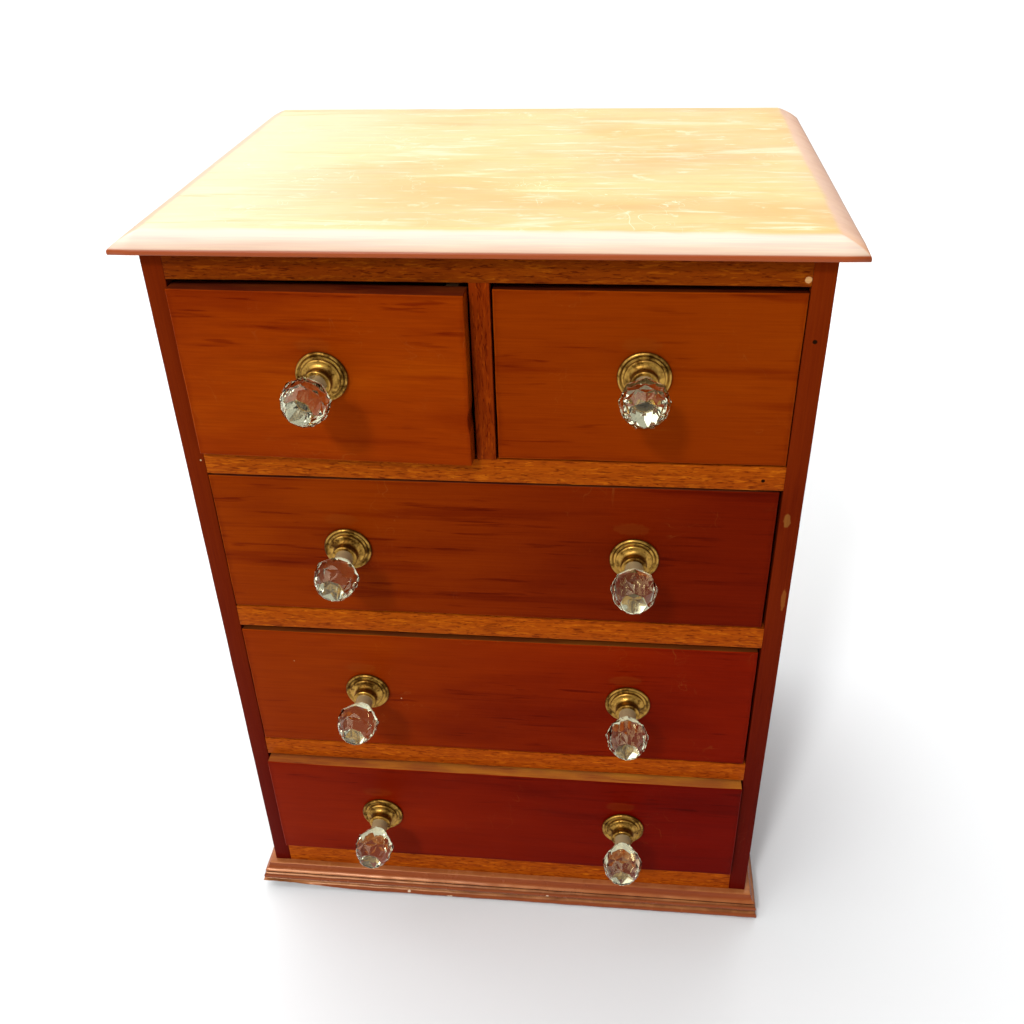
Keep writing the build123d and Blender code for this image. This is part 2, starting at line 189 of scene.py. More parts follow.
# Marks on the case's front, as (x, z)
FILLED_HOLE = (152.5 * MM, 456.3 * MM)
RAIL_HOLE = (143.2 * MM, 348.2 * MM)
NAIL_HOLE = (159.2 * MM, 425.8 * MM)
UPPER_PATCH = (158.2 * MM, 324.0 * MM)
LOWER_PATCH = (162.2 * MM, 271.5 * MM)
HOLE_COLOUR = (0.01, 0.003, 0.001)
CHIP_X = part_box("drawer_top_left_front")[1].x - 1.5 * MM

# ---------------------------------------------------------------- wood

X, Y, Z = 0, 1, 2


def along_grain(grain, along, across):
    """A scale that is small along the grain and large across it."""
    stretch = [across, across, across]
    stretch[grain] = along
    return tuple(stretch)


def grain_noise(tree, grain, along, across, offset, detail=3.0, roughness=0.55, distortion=0.0):
    place = place_of(tree, along_grain(grain, along, across), offset)
    return noise_of(tree, place, 1.0, detail, roughness, distortion)


def spot(tree, base, centre, size, paint, seed=0.0, amount=1.0):
    """A small ragged spot of another colour: a dowel's end, a stopped hole or a bare patch."""
    coordinates = tree.nodes.new("ShaderNodeTexCoord").outputs["Object"]
    centred = vector_node(tree, "SUBTRACT", coordinates, tuple(centre))
    scaled = vector_node(tree, "DIVIDE", centred, tuple(size))
    ragged = noise_of(tree, place_of(tree, (420, 420, 420), (seed, 0, 0)), 1.0, 3.0, 0.6)
    reach = add(tree, vector_node(tree, "LENGTH", scaled), times(tree, ragged, 0.7))
    return mix_colour(tree, between(tree, reach, 1.15, 1.45, amount, 0.0), base, colour(*paint))


def on_front(mark):
    """The place of a mark on the case's front."""
    return mark[0], FRONT_Y, mark[1]


def paint_specks(tree, base, offset):
    """Tiny pale specks of old paint, a few centimetres apart."""
    node = tree.nodes.new("ShaderNodeTexVoronoi")
    node.inputs["Scale"].default_value = 26.0
    plug(tree, place_of(tree, (1, 1, 1), offset), node.inputs["Vector"])
    dot = between(tree, node.outputs["Distance"], 0.009, 0.018, 1.0, 0.0)
    split = tree.nodes.new("ShaderNodeSeparateColor")
    plug(tree, node.outputs["Color"], split.inputs[0])
    chosen = between(tree, split.outputs[0], 0.50, 0.55)
    return mix_colour(tree, times(tree, dot, chosen), base, colour(0.60, 0.42, 0.22))


def hair_scratches(tree, base, offset, strength, paint):
    """Fine curved scratches, in patches."""
    for stretch, width in (((26.0, 30.0, 60.0), 0.0035), ((60.0, 50.0, 34.0), 0.0045)):
        lines = noise_of(tree, place_of(tree, stretch, offset), 1.0, 2.0, 0.5, 0.6)
        off_line = math_node(tree, "ABSOLUTE", add(tree, lines, -0.5))
        line = between(tree, off_line, 0.0, width, 1.0, 0.0)
        patch = between(tree, noise_of(tree, place_of(tree, (24, 24, 24), offset), 1.0, 3.0, 0.6), 0.54, 0.66)
        base = mix_colour(tree, times(tree, times(tree, line, patch), strength), base, colour(*paint))
    return base


def polished(name, base_of, grain, seed, figure=1.0, dashes=0.8, fibre=0.20, gloss=0.36,
             shine=0.03, warm=(1.0, 0.42, 0.10)):
    """Polished wood: clouds, soft dark streaks, short dark dashes and fine fibres over a colour.

    base_of(tree, offset) gives the colour before its figure. warm tints the polish's shine."""
    material, tree, shader = new_material(name)
    offset = (seed * 0.731, seed * 0.417, seed * 0.593)
    base = base_of(tree, offset)

    clouds = grain_noise(tree, grain, 5.0, 19.0, offset, 4.0)
    base = tinted(tree, base, times(tree, between(tree, clouds, 0.52, 0.72), figure), (0.74, 0.55, 0.8))
    base = tinted(tree, base, times(tree, between(tree, clouds, 0.48, 0.28), figure), (1.18, 1.42, 1.1))
    bands = grain_noise(tree, grain, 6.0, 95.0, offset, 4.0, 0.6, 0.3)
    base = tinted(tree, base, times(tree, between(tree, bands, 0.53, 0.70), 0.75 * figure), (0.66, 0.42, 0.7))
    marks = grain_noise(tree, grain, 26.0, 400.0, offset, 3.0, 0.5, 0.4)
    patchy = between(tree, clouds, 0.40, 0.60)
    mark = times(tree, between(tree, marks, 0.58, 0.72), patchy)
    base = tinted(tree, base, times(tree, mark, dashes), (0.55, 0.30, 0.6))
    fibres = grain_noise(tree, grain, 26.0, 1100.0, offset, 2.0, 0.6)
    base = tinted(tree, base, times(tree, between(tree, fibres, 0.48, 0.68), fibre), (0.62, 0.45, 0.7))
    base = tinted(tree, base, times(tree, between(tree, fibres, 0.50, 0.32), fibre), (1.30, 1.60, 1.2))

    plug(tree, base, shader.inputs["Base Color"])
    smears = noise_of(tree, place_of(tree, (30, 30, 30), offset), 1.0, 4.0, 0.6)
    plug(tree, between(tree, smears, 0.3, 0.7, gloss - 0.04, gloss + 0.06), shader.inputs["Roughness"])
    shader.inputs["Specular IOR Level"].default_value = shine
    shader.inputs["Specular Tint"].default_value = colour(*warm)
    height = add(tree, add(tree, times(tree, bands, 0.8), times(tree, fibres, -0.5)), times(tree, mark, -0.5))
    plug(tree, bump(tree, height, 0.00008, 0.5), shader.inputs["Normal"])
    return material


def front_colour(left, right, ledge_light_and_shade, low, high, knob_xs):
    """A drawer front: redder and darker to the right and towards its foot, partly its own tone and partly
    painted shade, with painted shade along its edges, rubbed arrises, a bare upper edge tinted with painted
    light and shade, and a bare back.

    Above each knob, at knob_xs, is the faint mark of an older fitting."""

    def base_of(tree, offset):
        # The left and right colours hold painted shade as well as the wood's own tone.
        across = between(tree, coordinate(tree, X), low.x, high.x)
        base = mix_colour(tree, across, colour(*left), colour(*right))
        # Redder and darker towards the foot of the front: partly the wood, partly painted shade.
        lower_tone_and_shade = between(tree, coordinate(tree, Z), low.z, low.z + 0.55 * (high.z - low.z), 0.4, 0.0)
        base = tinted(tree, base, lower_tone_and_shade, (0.84, 0.62, 1.0))
        edge = edge_distance(tree, (low + high) / 2, (high - low) / 2)
        ragged = grain_noise(tree, X, 30.0, 120.0, offset, 4.0)
        # Painted shade: a dark band along the front's edges, beside the gaps round the drawer.
        painted_edge_shade = between(tree, add(tree, edge, times(tree, ragged, 0.006)), 0.003, 0.0065, 0.45, 0.0)
        base = tinted(tree, base, painted_edge_shade, (0.60, 0.40, 0.8))
        rub = between(tree, add(tree, edge, times(tree, ragged, 0.0016)), 0.0010, 0.0017, 0.6, 0.0)
        base = tinted(tree, base, rub, (1.7, 2.4, 2.0))
        base = hair_scratches(tree, base, offset, 0.13, (0.34, 0.13, 0.03))
        for x in knob_xs:
            above = (x - 2 * MM, low.y, (low.z + high.z) / 2 + OLD_MARK_RISE)
            base = spot(tree, base, above, (10 * MM, 9 * MM, 4 * MM), (0.20, 0.055, 0.008), x * 90, 0.14)
        # The upward upper edge is bare wood; its colour also holds painted shade under the rails on the upper
        # drawers and painted light on the lowest drawer.
        up = between(tree, coordinate(tree, Z, "Normal"), 0.7, 0.9)
        bare = mix_colour(tree, between(tree, ragged, 0.35, 0.65), colour(*ledge_light_and_shade),
                          colour(0.72 * ledge_light_and_shade[0], 0.6 * ledge_light_and_shade[1], ledge_light_and_shade[2]))
        base = mix_colour(tree, up, base, bare)
        base = paint_specks(tree, base, offset)
        inside = between(tree, coordinate(tree, Y, "Normal"), 0.7, 0.9)
        return mix_colour(tree, inside, base, colour(*PINE[1]))

    return base_of


def edge_distance(tree, middle, half):
    """Distance in metres from the nearest edge of an upright board's broad face."""
    coordinates = tree.nodes.new("ShaderNodeTexCoord").outputs["Object"]
    centred = vector_node(tree, "SUBTRACT", coordinates, tuple(middle))
    inside = vector_node(tree, "SUBTRACT", tuple(half), vector_node(tree, "ABSOLUTE", centred))
    split = tree.nodes.new("ShaderNodeSeparateXYZ")
    plug(tree, inside, split.inputs[0])
    return math_node(tree, "MINIMUM", split.outputs[X], split.outputs[Z])


def oak_colour(grain, upper, lower):
    """Oak with short wavy pores and paler flecks, darker towards the floor."""

    def base_of(tree, offset):
        height = between(tree, coordinate(tree, Z), 0.10, 0.44)
        base = mix_colour(tree, height, colour(*lower), colour(*upper))
        for along, across, low, high, amount, tint in (
            (170.0, 1150.0, 0.53, 0.68, 0.85, (0.42, 0.27, 0.5)),
            (120.0, 800.0, 0.47, 0.32, 0.80, (1.50, 1.95, 1.6)),
            (60.0, 330.0, 0.52, 0.68, 0.45, (0.60, 0.48, 0.7)),
        ):
            pores = grain_noise(tree, grain, along, across, offset, 2.0, 0.5, 0.9)
            base = tinted(tree, base, between(tree, pores, low, high, 0.0, amount), tint)
        base = spot(tree, base, on_front(FILLED_HOLE), (1.7 * MM,) * 3, (0.52, 0.27, 0.10))
        return spot(tree, base, on_front(RAIL_HOLE), (1.0 * MM,) * 3, HOLE_COLOUR)

    return base_of


def side_colour(tree, offset):
    """The case's sides: dark red polish that darkens towards the floor, partly its own tone and partly
    painted shade, bare in two small patches, with one nail hole.
    """
    # Darker towards the floor: partly the wood's tone, partly painted shade.
    height = between(tree, coordinate(tree, Z), 0.0, 0.45)
    base = mix_colour(tree, height, colour(*SIDE_LOW_AND_SHADE), colour(*SIDE_HIGH))
    edge = between(tree, coordinate(tree, Y), FRONT_Y + 0.3 * MM, FRONT_Y + 3.0 * MM, 0.0, 0.35)
    base = tinted(tree, base, edge, (1.6, 2.0, 1.6))
    base = hair_scratches(tree, base, offset, 0.2, (0.26, 0.08, 0.03))
    for mark, size, paint, seed in (
        (UPPER_PATCH, (1.9 * MM, 3 * MM, 4.2 * MM), (0.20, 0.070, 0.012), 1.0),
        (LOWER_PATCH, (1.3 * MM, 3 * MM, 7.5 * MM), (0.20, 0.050, 0.008), 2.0),
        (NAIL_HOLE, (1.1 * MM,) * 3, HOLE_COLOUR, 3.0),
    ):
        base = spot(tree, base, on_front(mark), size, paint, seed)
    return paint_specks(tree, base, offset)


def top_colour(tree, offset):
    """The top: a pale honey colour, partly its thin polish and partly painted glare, with pale rubs and
    scratches, a painted highlight on its moulding and a dark nose.
    """
    # These tones are partly the top's own colour and partly painted glare from the lamp above.
    middle, pale, deep = (colour(*tone) for tone in TOP_TONES_AND_GLARE)
    soft = grain_noise(tree, X, 5.0, 14.0, offset, 3.0)
    base = mix_colour(tree, between(tree, soft, 0.42, 0.64), middle, deep)
    left = between(tree, coordinate(tree, X), -0.17, -0.02, 0.75, 0.0)
    base = mix_colour(tree, left, base, pale)
    for along, across, low, high, amount in (
        (9.0, 55.0, 0.52, 0.66, 0.75), (26.0, 210.0, 0.56, 0.68, 0.9), (48.0, 60.0, 0.60, 0.70, 0.8),
    ):
        rubbed = grain_noise(tree, X, along, across, offset, 5.0, 0.65, 0.5)
        base = mix_colour(tree, between(tree, rubbed, low, high, 0.0, amount), base, pale)
    darker = grain_noise(tree, X, 12.0, 150.0, (offset[1], offset[2], offset[0]), 4.0, 0.6)
    base = mix_colour(tree, between(tree, darker, 0.56, 0.72, 0.0, 0.7), base, deep)
    base = hair_scratches(tree, base, offset, 0.55, (0.86, 0.80, 0.58))

    ends = math_node(tree, "SUBTRACT", TOP_HIGH.x, math_node(tree, "ABSOLUTE", coordinate(tree, X)))
    fronts = math_node(tree, "SUBTRACT", coordinate(tree, Y), TOP_LOW.y)
    edge = math_node(tree, "MINIMUM", ends, fronts)
    uneven = noise_of(tree, place_of(tree, (19, 19, 19), offset), 1.0, 3.0, 0.5)
    edge = add(tree, edge, times(tree, add(tree, uneven, -0.5), 6.0 * MM))
    streaky = add(tree, times(tree, grain_noise(tree, X, 9.0, 160.0, offset, 4.0), 6 * MM), -3 * MM)
    height = add(tree, coordinate(tree, Z), streaky)
    # Painted highlight: the moulding's slope is painted pale to stand in for glare, palest at its crown.
    moulding = mix_colour(tree, between(tree, height, TOP_LIP, TOP_HIGH.z - 1 * MM),
                          colour(*TOP_MOULDING_GLARE[1]), colour(*TOP_MOULDING_GLARE[0]))
    # The ends take a darker tint: painted shade against the front's painted highlight.
    shaded_ends = between(tree, math_node(tree, "SUBTRACT", ends, fronts), -1.0 * MM, 1.0 * MM, 1.0, 0.0)
    moulding = tinted(tree, moulding, shaded_ends, (0.93, 0.68, 0.52))
    width = TOP_MOULDING_WIDTH
    base = mix_colour(tree, between(tree, edge, width - 3 * MM, width + 1 * MM, 1.0, 0.0), base, moulding)
    nose = between(tree, coordinate(tree, Z), TOP_LIP + 0.1 * MM, TOP_LIP + 0.9 * MM, 1.0, 0.0)
    return mix_colour(tree, nose, base, colour(*NOSE))


def moulding_colour(tree, offset):
    """The base moulding: brown-red, with painted shade in its quirks and on its downward faces, and its
    upward faces paler, dusty and with painted highlight.
    """
    height = coordinate(tree, Z)
    base = mix_colour(tree, grain_noise(tree, X, 9.0, 9.0, offset, 4.0), colour(*MOULD_AND_HIGHLIGHT[0]), colour(*MOULD_AND_HIGHLIGHT[1]))
    # Painted shade: the quirks are darkened where shade falls in them.
    for quirk in (UPPER_QUIRK, LOWER_QUIRK):
        away = math_node(tree, "ABSOLUTE", add(tree, height, -quirk))
        base = tinted(tree, base, between(tree, away, 0.6 * MM, 2.2 * MM, 0.9, 0.0), (0.20, 0.10, 0.15))
    # Upward faces paler: partly dusty, partly painted highlight where light falls from above.
    up = between(tree, coordinate(tree, Z, "Normal"), 0.45, 0.95)
    patchy = noise_of(tree, place_of(tree, (60, 60, 60), offset), 1.0, 4.0, 0.6)
    dust_and_highlight = between(tree, patchy, 0.3, 0.7, 0.35, 0.85)
    base = mix_colour(tree, times(tree, up, dust_and_highlight), base, colour(*MOULD_AND_HIGHLIGHT[2]))
    # Painted shade: faces turned downwards are darkened.
    under = between(tree, coordinate(tree, Z, "Normal"), 0.05, -0.65)
    base = tinted(tree, base, under, (0.62, 0.42, 0.5))
    for x, z in ((-68.1, 4.6), (-40.0, 2.6), (-38.0, 3.0), (30.0, 9.5), (101.0, 17.0)):
        base = spot(tree, base, (x * MM, FRONT_Y - 8.5 * MM, z * MM), (1.1 * MM, 2 * MM, 0.9 * MM),
                    (0.60, 0.45, 0.30), x)
    return base


def pine(grain, seed):
    """Bare pine: pale, with soft orange year lines and a few dark flecks."""

    def base_of(tree, offset):
        lines = grain_noise(tree, grain, 3.5, 130.0, offset, 3.0, 0.5, 0.6)
        base = mix_colour(tree, between(tree, lines, 0.42, 0.62), colour(*PINE[0]), colour(*PINE[1]))
        dirt = noise_of(tree, place_of(tree, (18, 18, 18), offset), 1.0, 5.0, 0.65)
        return tinted(tree, base, between(tree, dirt, 0.5, 0.75, 0.0, 0.7), (0.62, 0.52, 0.45))

    return polished(f"pine_{'xyz'[grain]}", base_of, grain, seed, figure=0.35, dashes=0.35, gloss=0.66,
                    shine=0.3, warm=(1.0, 0.9, 0.75))


# ---------------------------------------------------------------- brass, glass and steel


def brass(name, seed):
    """Old brass: brown in the hollows, its forward faces gold, partly rubbed and partly painted highlight."""
    material, tree, shader = new_material(name)
    offset = (seed * 0.37, seed * 0.61, seed * 0.29)
    tarnish = noise_of(tree, place_of(tree, (1, 1, 1), offset), 170.0, 5.0, 0.65)
    spots = noise_of(tree, place_of(tree, (1, 1, 1), offset), 900.0, 3.0, 0.6)
    forward = math_node(tree, "MULTIPLY", coordinate(tree, Y, "Normal"), -1.0)
    old = between(tree, add(tree, times(tree, spots, 0.5), tarnish), 0.50, 0.95)
    base = mix_colour(tree, old, colour(*BRASS_AND_HIGHLIGHT[0]), colour(*BRASS_AND_HIGHLIGHT[1]))
    # Forward faces lighter: partly rubbed brass, partly painted highlight.
    rub_and_highlight = between(tree, forward, 0.25, 0.75, 0.0, 0.55)
    base = mix_colour(tree, times(tree, rub_and_highlight, between(tree, tarnish, 0.62, 0.42)), base, colour(*BRASS_AND_HIGHLIGHT[2]))
    plug(tree, base, shader.inputs["Base Color"])
    shader.inputs["Metallic"].default_value = 1.0
    plug(tree, between(tree, old, 0.0, 1.0, 0.30, 0.55), shader.inputs["Roughness"])
    plug(tree, bump(tree, add(tree, spots, times(tree, tarnish, 2.0)), 0.00006, 0.5), shader.inputs["Normal"])
    return material


def pressed_glass(name, tint, clear, rough):
    """Warm pressed glass with soft finger marks.

    clear is how much of its light passes through, and rough how dull its surface is."""
    material, tree, shader = new_material(name)
    smears = noise_of(tree, place_of(tree, (1, 1, 1)), 240.0, 4.0, 0.6)
    shader.inputs["Base Color"].default_value = colour(*tint)
    shader.inputs["Transmission Weight"].default_value = clear
    shader.inputs["IOR"].default_value = 1.62
    shader.inputs["Specular Tint"].default_value = colour(1.0, 0.88, 0.62)
    plug(tree, between(tree, smears, 0.55, 0.85, rough, rough + 0.03), shader.inputs["Roughness"])
    plug(tree, bump(tree, smears, 0.00002, 0.1), shader.inputs["Normal"])
    return material


def dull_steel():
    material, tree, shader = new_material("dull_steel")
    rust = noise_of(tree, place_of(tree, (1, 1, 1)), 500.0, 5.0, 0.7)
    spotted = between(tree, rust, 0.45, 0.65)
    plug(tree, mix_colour(tree, spotted, colour(0.30, 0.28, 0.26), colour(0.16, 0.06, 0.025)),
         shader.inputs["Base Color"])
    plug(tree, between(tree, spotted, 0.0, 1.0, 1.0, 0.2), shader.inputs["Metallic"])
    plug(tree, between(tree, rust, 0.3, 0.7, 0.35, 0.75), shader.inputs["Roughness"])
    plug(tree, bump(tree, rust, 0.00008, 0.5), shader.inputs["Normal"])
    return material


# The sides' colour up high and low down; the lower one is partly painted shade.
SIDE_HIGH, SIDE_LOW_AND_SHADE = (0.133, 0.0130, 0.0010), (0.080, 0.0022, 0.0010)
# The first colour is the top rail's, darkened as painted shade from the overhanging top board.
RAIL_TOP_PAINTED_SHADE, RAIL_HIGH, RAIL_LOW = (0.170, 0.0270, 0.0012), (0.285, 0.0510, 0.0022), (0.290, 0.0480, 0.0022)
DIVIDER = (0.185, 0.0200, 0.0010)
# The top's middle, pale and deep tones, made pale enough to carry painted glare.
TOP_TONES_AND_GLARE = ((0.62, 0.435, 0.150), (0.66, 0.565, 0.33), (0.58, 0.340, 0.085))
# The top's moulding: painted highlight, its upper and lower tones.
TOP_MOULDING_GLARE = ((0.71, 0.58, 0.47), (0.60, 0.40, 0.28))
NOSE = (0.30, 0.055, 0.008)
# Base moulding: two brown-red tones, then a paler colour for its upward faces, partly dusty and partly
# painted highlight.
MOULD_AND_HIGHLIGHT = ((0.27, 0.062, 0.014), (0.165, 0.026, 0.006), (0.40, 0.145, 0.045))
PINE = ((0.40, 0.245, 0.110), (0.325, 0.178, 0.074))
# Brass: bright, tarnished, and the gold of its forward faces, partly painted highlight.
BRASS_AND_HIGHLIGHT = ((0.28, 0.128, 0.016), (0.070, 0.026, 0.004), (0.64, 0.38, 0.085))
# The head's glass tint, then the shank's tan, which is painted light.
GLASS, SHANK_PAINTED_LIGHT_TINT = (0.88, 0.88, 0.60), (0.50, 0.37, 0.19)

# Each drawer's colour at its left and right ends, partly its polish and partly painted shade that darkens the
# lower drawers and the right ends of the lowest three, and its bare upper edge, darkened by painted shade on
# the upper four drawers and lightened by painted light on the lowest
DRAWER_TONES_AND_SHADE = {
    "drawer_top_left": ((0.228, 0.0268, 0.0003), (0.228, 0.0275, 0.0003), (0.150, 0.026, 0.004)),
    "drawer_top_right": ((0.204, 0.0245, 0.0003), (0.204, 0.0260, 0.0003), (0.090, 0.014, 0.002)),
    "drawer_upper": ((0.206, 0.0255, 0.0003), (0.108, 0.0050, 0.0003), (0.100, 0.024, 0.008)),
    "drawer_middle": ((0.198, 0.0205, 0.0002), (0.146, 0.0050, 0.0002), (0.130, 0.030, 0.005)),
    "drawer_lower": ((0.170, 0.0085, 0.0002), (0.108, 0.0016, 0.0002), (0.430, 0.150, 0.018)),
}

# ---------------------------------------------------------------- mesh helpers


def piece_from(name, work, smooth=True):
    """Makes a piece of a bmesh and frees the bmesh."""
    bmesh.ops.recalc_face_normals(work, faces=work.faces)
    mesh = bpy.data.meshes.new(name)
    work.to_mesh(mesh)
    work.free()
    if smooth:
        mesh.shade_smooth()
    piece = bpy.data.objects.new(name, mesh)
    bpy.context.scene.collection.objects.link(piece)
    return piece


def dress(piece, node, material):
    """Gives a piece a material, puts it in a CAD node's place and body, and hides the node."""
    piece.data.materials.append(material)
    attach(piece, BODY_OF[node])
    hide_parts(node)
    return piece


def wobble(place, scale, size, seed):
    """A small shift, smooth over 1 / scale metres. Each seed gives its own.

    Blender gives noise_vector new offsets at each start, so the shift isn't the same in every run."""
    shifted = place * scale + Vector((seed * 3.1, seed * 5.7, seed * 1.3))
    return noise.noise_vector(shifted) * size


def keep_inside(place):
    """Holds a moved point within the whole part's box."""
    for axis in (X, Y, Z):
        place[axis] = min(max(place[axis], cad_bounds[0][axis]), cad_bounds[1][axis])


def cad_copy(node):
    """The CAD piece's mesh with its flat faces whole again."""
    work = bmesh.new()
    work.from_mesh(frame["nodes"][node].data)
    bmesh.ops.remove_doubles(work, verts=work.verts, dist=2e-6)
    bmesh.ops.dissolve_limit(work, angle_limit=radians(0.5), verts=work.verts, edges=work.edges)
    return work


def sharp_edges(work, angle, length=0.0):
    return [edge for edge in work.edges
            if edge.is_manifold and edge.calc_face_angle(0) > radians(angle) and edge.calc_length() > length]


def slice_up(work, axis, spacing):
    """Cuts a mesh into slices across an axis, so that it can bend gently."""
    along = [vertex.co[axis] for vertex in work.verts]
    low, high = min(along), max(along)
    normal = Vector((axis == X, axis == Y, axis == Z))
    count = int((high - low) / spacing)
    for index in range(1, count):
        place = normal * (low + (high - low) * index / count)
        everything = list(work.verts) + list(work.edges) + list(work.faces)
        bmesh.ops.bisect_plane(work, geom=everything, plane_co=place, plane_no=normal, dist=1e-7)


def softened(node, material, width=0.35 * MM, wear=0.12 * MM, seed=0.0, slices=((X, 0.02), (Z, 0.02)),
             reshape=None):
    """A copy of a CAD board with its arrises rounded and its faces very slightly uneven."""
    work = cad_copy(node)
    bmesh.ops.bevel(work, geom=sharp_edges(work, 30.0, 6.0 * MM), offset=width, segments=2, profile=0.6,
                    affect="EDGES", clamp_overlap=True)
    for axis, spacing in slices:
        slice_up(work, axis, spacing)
    for vertex in work.verts:
        vertex.co += wobble(vertex.co, 45.0, wear, seed)
        if reshape:
            reshape(vertex.co)
        keep_inside(vertex.co)
    bmesh.ops.triangulate(work, faces=work.faces)
    piece = piece_from(node + "_worn", work)
    piece.data.set_sharp_from_angle(angle=radians(32.0))
    return dress(piece, node, material)


def cut_knobs(node, material):
    """The glass knobs: crowned facets, their edges ground to narrow bright lines, and a dull, half-clear
    shank whose tan colour is painted light.
    """
    work = cad_copy(node)
    head_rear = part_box(node)[0].y + HEAD_LENGTH
    for face in work.faces:
        face.material_index = 0 if face.calc_center_median().y < head_rear else 1
    facets = [face for face in work.faces if face.calc_area() > 12e-6]
    edges = {edge for face in facets for edge in face.edges
             if edge.is_manifold and edge.calc_face_angle(0) > radians(12) and edge.calc_length() > 2.5 * MM}
    bmesh.ops.bevel(work, geom=list(edges), offset=0.32 * MM, segments=1, profile=0.5, affect="EDGES",
                    clamp_overlap=True)
    crowned = [face for face in work.faces if face.material_index == 0 and 15e-6 < face.calc_area() < 90e-6]
    bmesh.ops.poke(work, faces=crowned, offset=0.5 * MM)
    piece = piece_from(node + "_cut", work, smooth=False)
    dress(piece, node, material)
    piece.data.materials.append(painted_light_shank_glass)
    return piece


# ---------------------------------------------------------------- base moulding


def arc(middle, radius, start, end, steps):
    """Points (outwards, height) on an arc, its angles measured from straight outwards."""
    angles = [radians(start + (end - start) * step / steps) for step in range(steps + 1)]
    return [(middle[0] + radius * cos(angle), middle[1] + radius * sin(angle)) for angle in angles]


def moulding_section():
    """The base moulding from its top edge down: fillet, ovolo, quirk, bead, quirk, bead."""
    section = [(0.0, 20.3), (1.2, 20.2), (2.6, 20.3), (3.6, 20.1), (4.0, 19.7)]
    section += arc((9.6, 19.4), 5.6, 182, 242, 5)
    section += [(6.5, 13.6), (6.3, 12.9)]
    section += arc((5.2, 9.9), 2.95, 68, -68, 8)
    section += [(6.4, 6.9), (6.9, 6.5)]
    section += arc((5.9, 3.3), 3.0, 72, -60, 8)
    section += [(7.0, 0.2), (6.2, 0.0), (0.0, 0.0)]
    return [(out * MM, height * MM) for out, height in section]


def lost_bead(from_corner, taper):
    """The height to which the lowest bead has broken away near the front left corner."""
    left = 1.0 - max(0.0, from_corner - 15 * MM) / taper
    return 6.2 * MM * max(0.0, min(1.0, left))


def base_moulding(node, path, material, seed):
    """Sweeps the section along path(out, share), the plan of a length with mitred ends."""
    work = bmesh.new()
    section = moulding_section()
    steps = 110
    rows = []
    for step in range(steps + 1):
        row = []
        for out, height in section:
            x, y = path(out, step / steps)
            place = Vector((x, y, height))
            place += wobble(place, 90.0, 0.22 * MM, seed)
            broken = 0.0
            if node == "base_moulding_front":
                broken = lost_bead(x + HALF_WIDTH + 9 * MM, 85 * MM)
            elif node == "base_moulding_left":
                broken = lost_bead(y - FRONT_Y + 9 * MM, 30 * MM)
            ragged = 1.0 + 0.08 * noise.noise(Vector((x * 400, y * 400, height * 150)))
            place.z = max(place.z, broken * ragged)
            keep_inside(place)
            row.append(work.verts.new(place))
        rows.append(row)
    count = len(section)
    for first, second in zip(rows, rows[1:]):
        for index in range(count):
            after = (index + 1) % count
            work.faces.new((first[index], first[after], second[after], second[index]))
    work.faces.new(rows[0])
    work.faces.new(rows[-1][::-1])
    piece = piece_from(node + "_worn", work)
    piece.data.set_sharp_from_angle(angle=radians(50.0))
    return dress(piece, node, material)


def front_path(out, share):
    reach = HALF_WIDTH + out
    return -reach + 2 * reach * share, FRONT_Y - out


def end_path(side):
    def path(out, share):
        start = FRONT_Y - out
        return side * (HALF_WIDTH + out), start + (BACK_Y - start) * share
    return path


# ---------------------------------------------------------------- build

BODY_OF = {node: body for body, nodes in frame["record"]["behaviour"]["bodies"].items() for node in nodes}

for cad_object in frame["nodes"].values():
    cad_object.data.materials.clear()

glass = pressed_glass("cut_glass", GLASS, 1.0, 0.0)
# The shank's tan colour is painted light, standing in for light seen through its clear glass.
painted_light_shank_glass = pressed_glass("painted_light_shank_glass", SHANK_PAINTED_LIGHT_TINT, 0.45, 0.18)
steel = dull_steel()
pine_woods = {grain: pine(grain, 3.0 + grain) for grain in (X, Y, Z)}
rail_wood = polished("rail_oak_x", oak_colour(X, RAIL_HIGH, RAIL_LOW), X, 1.7, figure=0.5, dashes=0.2)
# The top rail's colour is darkened as painted shade from the overhanging top board.
shaded_top_rail_wood = polished("rail_oak_top_painted_shade", oak_colour(X, RAIL_TOP_PAINTED_SHADE, RAIL_TOP_PAINTED_SHADE), X, 1.9, figure=0.5, dashes=0.2)
divider_wood = polished("rail_oak_z", oak_colour(Z, DIVIDER, RAIL_LOW), Z, 2.3, figure=0.5)
side_wood = polished("case_wood", side_colour, Z, 5.1, figure=0.7, dashes=0.3)
top_wood = polished("top_wood", top_colour, X, 6.2, figure=0.12, dashes=0.0, fibre=0.10, gloss=0.34,
                    shine=0.25, warm=(1.0, 1.0, 1.0))
mould_wood = polished("moulding", moulding_colour, X, 7.7, figure=0.3, dashes=0.2, gloss=0.24, shine=0.4,
                      warm=(1.0, 0.58, 0.36))


def chipped(place):
    """The small step where a sliver has left the right-hand arris of the top left drawer."""
    if place.x > CHIP_X and 0.3775 < place.z < 0.3865:
        place.x -= 0.8 * MM


def worn_corners(place):
    """Rubs the top board's two front corners round."""
    for side in (-1, 1):
        reach = Vector((place.x - side * TOP_HIGH.x, place.y - TOP_LOW.y)).length
        if reach < 5 * MM:
            place.x -= side * 0.12 * (5 * MM - reach)
            place.y += 0.12 * (5 * MM - reach)


